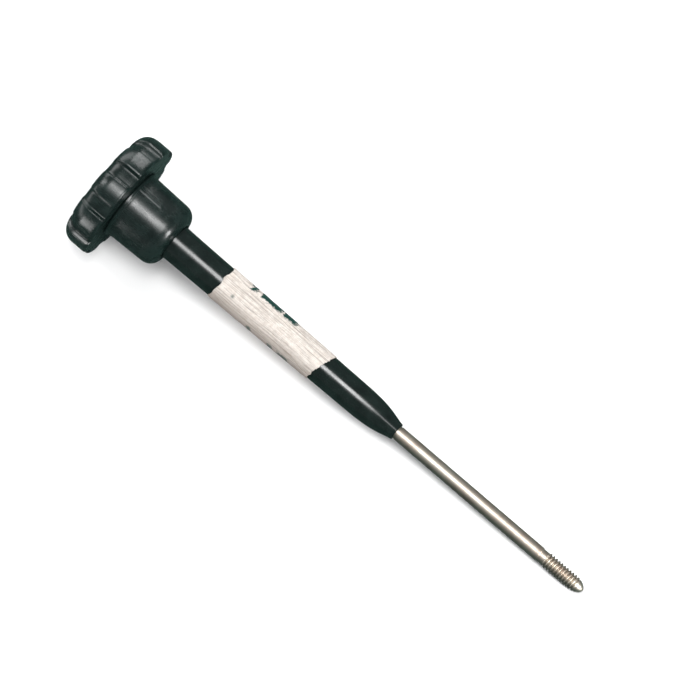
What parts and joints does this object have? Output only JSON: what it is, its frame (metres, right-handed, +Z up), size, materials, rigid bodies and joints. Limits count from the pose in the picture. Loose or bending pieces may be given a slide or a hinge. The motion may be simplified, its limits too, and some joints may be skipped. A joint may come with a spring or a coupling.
{
  "type": "knob-driven hand tool with threaded tip",
  "caption": "Slim hand tool with a lobed black knob, a free-turning black sleeve wrapped in tape, a bare steel rod and a threaded tip with a rounded nose.",
  "frame": {"origin": "middle of the footprint, on the surface that the tool lies on", "axes": "+X along the tool towards the threaded tip, +Z up; the tool's axis dips 5.6 degrees towards the tip because the knob lies on two lobes and the tip on the surface"},
  "size_m": [0.187, 0.0402, 0.0396],
  "materials": {
    "knob_plastic": "satin moulded",
    "ring_plastic": "gloss",
    "sleeve_plastic": "gloss",
    "spindle_steel": "nickel plated, worn",
    "insert_brass": "machined",
    "bush_bronze": "sintered",
    "zinc_steel": "zinc plated",
    "spring_steel": "oiled",
    "liner_aluminium": "drawn",
    "nylon": "natural",
    "seal_rubber": "matt",
    "tape": "matt, fibrous, worn"
  },
  "bodies": {
    "driver": {"knob_body": "knob_plastic", "knob_cap": "knob_plastic", "knob_insert": "insert_brass", "hub_ring": "ring_plastic", "spindle": "spindle_steel", "lock_nut": "zinc_steel", "spring_washer": "spring_steel", "flat_washer": "zinc_steel", "thrust_washer": "nylon", "wave_washer": "spring_steel", "keeper_washer": "zinc_steel", "snap_ring": "spring_steel"},
    "grip": {"grip_sleeve": "sleeve_plastic", "liner_tube": "liner_aluminium", "rear_bush": "bush_bronze", "nose_bush": "bush_bronze", "nose_seal": "seal_rubber", "tape_label": "tape"}
  },
  "joints": [
    {"name": "sleeve_spin", "type": "hinge", "parent": "driver", "child": "grip", "pos_m": [-0.03229, 0, 0.01451], "axis": [0.9952, 0, -0.0983], "continuous": true}
  ]
}
